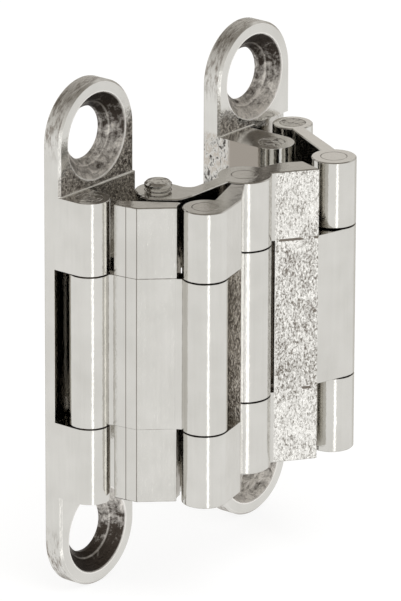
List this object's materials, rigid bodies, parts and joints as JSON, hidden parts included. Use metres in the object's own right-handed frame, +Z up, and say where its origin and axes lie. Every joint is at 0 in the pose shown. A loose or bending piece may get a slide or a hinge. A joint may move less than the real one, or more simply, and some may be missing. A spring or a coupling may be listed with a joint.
{
  "type": "seven-pivot concealed hinge",
  "caption": "Small concealed hinge, fully open: two screwed leaves joined by two crossing arms and two short links, which fold until the leaves face each other.",
  "frame": {"origin": "centre of the left leaf's mounting face, midway between its two screw holes", "axes": "+X across from the left leaf to the right leaf, +Y into what the leaves are screwed to, +Z up along the pins"},
  "size_m": [0.0318, 0.0143, 0.0464],
  "materials": {
    "nickel_zinc": "zinc die casting, satin nickel plate",
    "steel_pin": "steel rod, nickel plate"
  },
  "bodies": {
    "left_leaf": {"left_leaf": "nickel_zinc", "left_outer_pin": "steel_pin"},
    "left_crossing_arm": {"left_crossing_arm": "nickel_zinc", "left_inner_pin": "steel_pin", "centre_pin": "steel_pin"},
    "right_crossing_arm": {"right_crossing_arm": "nickel_zinc", "left_front_pin": "steel_pin"},
    "right_leaf": {"right_leaf": "nickel_zinc", "right_inner_pin": "steel_pin"},
    "left_link": {"left_link": "nickel_zinc"},
    "right_link": {"right_link": "nickel_zinc", "right_outer_pin": "steel_pin", "right_front_pin": "steel_pin"}
  },
  "joints": [
    {"name": "fold", "type": "hinge", "parent": "left_leaf", "child": "left_crossing_arm", "pos_m": [0.003, -0.00625, 0], "axis": [0, 0, -1], "range_deg": [0, 134.43]},
    {"name": "cross", "type": "hinge", "parent": "left_crossing_arm", "child": "right_crossing_arm", "pos_m": [0.0109, -0.0095, 0], "axis": [0, 0, -1], "range_deg": [-88.88, 0]},
    {"name": "right_inner", "type": "hinge", "parent": "right_crossing_arm", "child": "right_leaf", "pos_m": [0.0188, -0.00625, 0], "axis": [0, 0, -1], "range_deg": [0, 134.45]},
    {"name": "left_outer", "type": "hinge", "parent": "left_leaf", "child": "left_link", "pos_m": [-0.0032, -0.0037, 0], "axis": [0, 0, -1], "range_deg": [0, 112.11]},
    {"name": "right_outer", "type": "hinge", "parent": "right_leaf", "child": "right_link", "pos_m": [0.025, -0.0037, 0], "axis": [0, 0, -1], "range_deg": [-112.11, 0]}
  ],
  "couplings": [
    {"joint": "cross", "follows": "fold", "ratio": -0.661},
    {"joint": "right_inner", "follows": "fold", "ratio": 1},
    {"joint": "left_outer", "follows": "fold", "ratio": 0.8338},
    {"joint": "right_outer", "follows": "fold", "ratio": -0.8338}
  ]
}
